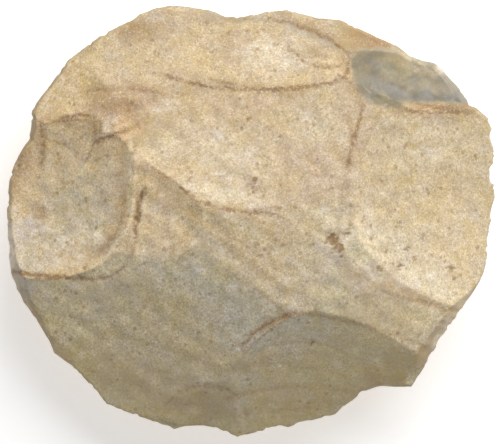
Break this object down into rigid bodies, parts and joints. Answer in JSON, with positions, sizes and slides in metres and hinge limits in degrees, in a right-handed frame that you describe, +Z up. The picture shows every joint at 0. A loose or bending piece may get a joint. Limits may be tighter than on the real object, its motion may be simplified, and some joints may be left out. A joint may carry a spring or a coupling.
{
  "type": "stone hand axe",
  "caption": "Nearly round stone hand axe flaked on both faces, with broad scars meeting in ridges and a sharp wavy edge; held in the palm to chop, scrape and cut",
  "frame": {"origin": "centre of the outline seen from above, on the plane of the resting flat", "axes": "+X along the longest extent, to the right when the flaked face is seen from above; +Y to the far side; +Z up through the thickness, out of the upper face"},
  "size_m": [0.111, 0.0982, 0.0362],
  "materials": {
    "patinated_flint": "dull weathered patina"
  },
  "bodies": {
    "root": {"hand_axe": "patinated_flint"}
  },
  "joints": []
}
